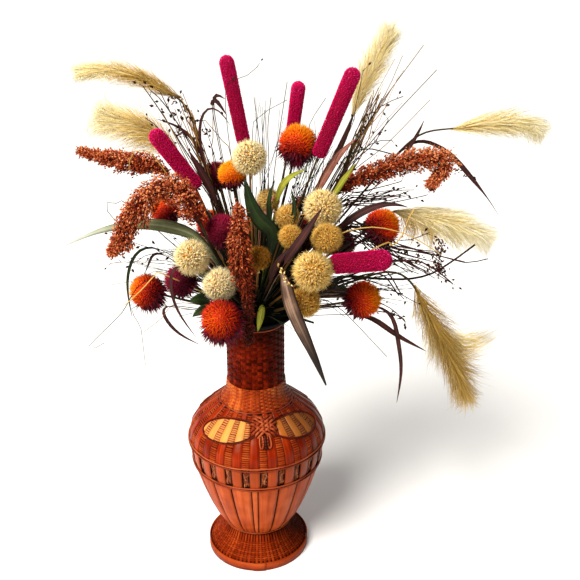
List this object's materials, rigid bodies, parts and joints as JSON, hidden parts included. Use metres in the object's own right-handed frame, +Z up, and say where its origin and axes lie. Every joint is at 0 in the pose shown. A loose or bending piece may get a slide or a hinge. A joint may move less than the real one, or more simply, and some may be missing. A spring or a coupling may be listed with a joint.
{
  "type": "dried grass arrangement in vase",
  "caption": "Dried flowers, seed heads, pampas plumes and grasses fanned out of a woven bamboo vase with a flared foot and a knotted shoulder cord.",
  "frame": {"origin": "middle of the vase's foot, on the surface it stands on", "axes": "+Z up along the vase; -Y is the front, where the shoulder knot is; +X is to the right seen from the front"},
  "size_m": [0.5686, 0.3529, 0.6956],
  "materials": {
    "lacquered_bamboo": "satin",
    "rattan_cord": "satin",
    "foot_strip": "satin",
    "base_wood": "matte",
    "black_plastic": "satin",
    "floral_foam": "matte",
    "orange_petals": "matte",
    "burgundy_petals": "matte",
    "straw_bristles": "matte",
    "millet_seed": "matte",
    "sorghum_seed": "matte",
    "pampas_hair": "matte",
    "olive_leaf": "matte",
    "green_leaf": "matte",
    "maroon_leaf": "matte",
    "brown_leaf": "matte"
  },
  "bodies": {
    "root": {"base_board": "base_wood", "belly_hoop_lower": "rattan_cord", "belly_hoop_upper": "rattan_cord", "brown_hanging_leaf": "brown_leaf", "burgundy_globe_1": "burgundy_petals", "burgundy_globe_2": "burgundy_petals", "burgundy_globe_3": "burgundy_petals", "burgundy_globe_4": "burgundy_petals", "floral_foam": "floral_foam", "foot_band": "foot_strip", "foot_skirt": "lacquered_bamboo", "green_folded_leaf": "green_leaf", "knot_cord_1": "rattan_cord", "knot_cord_2": "rattan_cord", "liner_dish": "black_plastic", "maroon_arching_leaf": "maroon_leaf", "millet_spike_1": "millet_seed", "millet_spike_2": "millet_seed", "millet_spike_3": "millet_seed", "millet_spike_4": "millet_seed", "millet_spike_5": "millet_seed", "olive_blade_leaf": "olive_leaf", "orange_globe_1": "orange_petals", "orange_globe_2": "orange_petals", "orange_globe_3": "orange_petals", "orange_globe_4": "orange_petals", "orange_globe_5": "orange_petals", "orange_globe_6": "orange_petals", "orange_globe_7": "orange_petals", "orange_globe_8": "orange_petals", "orange_globe_9": "orange_petals", "pampas_plume_1": "pampas_hair", "pampas_plume_2": "pampas_hair", "pampas_plume_3": "pampas_hair", "pampas_plume_4": "pampas_hair", "pampas_plume_5": "pampas_hair", "pampas_plume_6": "pampas_hair", "pampas_plume_7": "pampas_hair", "shoulder_ring": "rattan_cord", "sorghum_head_1": "sorghum_seed", "sorghum_head_2": "sorghum_seed", "sorghum_head_3": "sorghum_seed", "sorghum_head_4": "sorghum_seed", "sorghum_head_5": "sorghum_seed", "straw_ball_1": "straw_bristles", "straw_ball_10": "straw_bristles", "straw_ball_11": "straw_bristles", "straw_ball_12": "straw_bristles", "straw_ball_13": "straw_bristles", "straw_ball_2": "straw_bristles", "straw_ball_3": "straw_bristles", "straw_ball_4": "straw_bristles", "straw_ball_5": "straw_bristles", "straw_ball_6": "straw_bristles", "straw_ball_7": "straw_bristles", "straw_ball_8": "straw_bristles", "straw_ball_9": "straw_bristles", "vase_body": "lacquered_bamboo", "waist_ring": "rattan_cord"}
  },
  "joints": []
}
